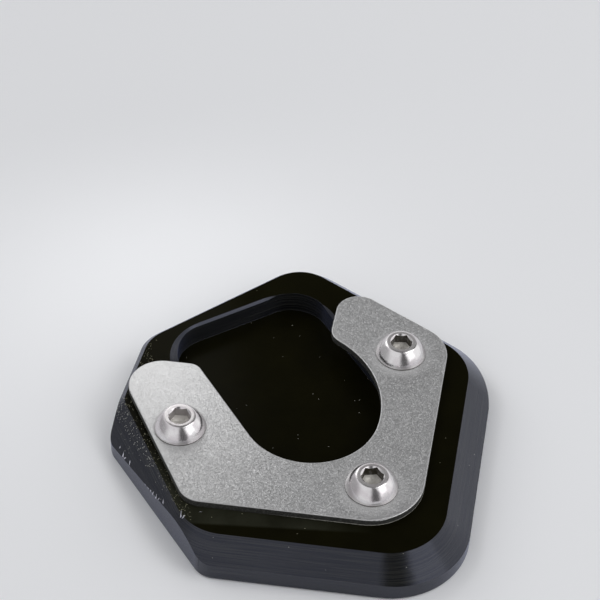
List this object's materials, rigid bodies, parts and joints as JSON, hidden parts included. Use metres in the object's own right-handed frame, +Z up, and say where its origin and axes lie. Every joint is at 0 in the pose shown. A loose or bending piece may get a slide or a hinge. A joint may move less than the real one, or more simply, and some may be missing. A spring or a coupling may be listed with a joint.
{
  "type": "kickstand foot enlarger",
  "caption": "Bevelled base plate that widens the foot of a motorbike side stand: the foot drops into a milled seat and a screwed horseshoe plate clamps it down.",
  "frame": {"origin": "middle of the base plate's plan box, on its underside", "axes": "+X along the straight front edge to the right, +Y to the back, +Z up out of the seat"},
  "size_m": [0.0764, 0.0824, 0.0133],
  "materials": {
    "black_anodised": "black anodised, satin",
    "blasted_stainless": "bead blasted",
    "polished_stainless": "polished"
  },
  "bodies": {
    "root": {"base_plate": "black_anodised", "clamp_plate": "blasted_stainless", "clamp_screws": "polished_stainless"}
  },
  "joints": []
}
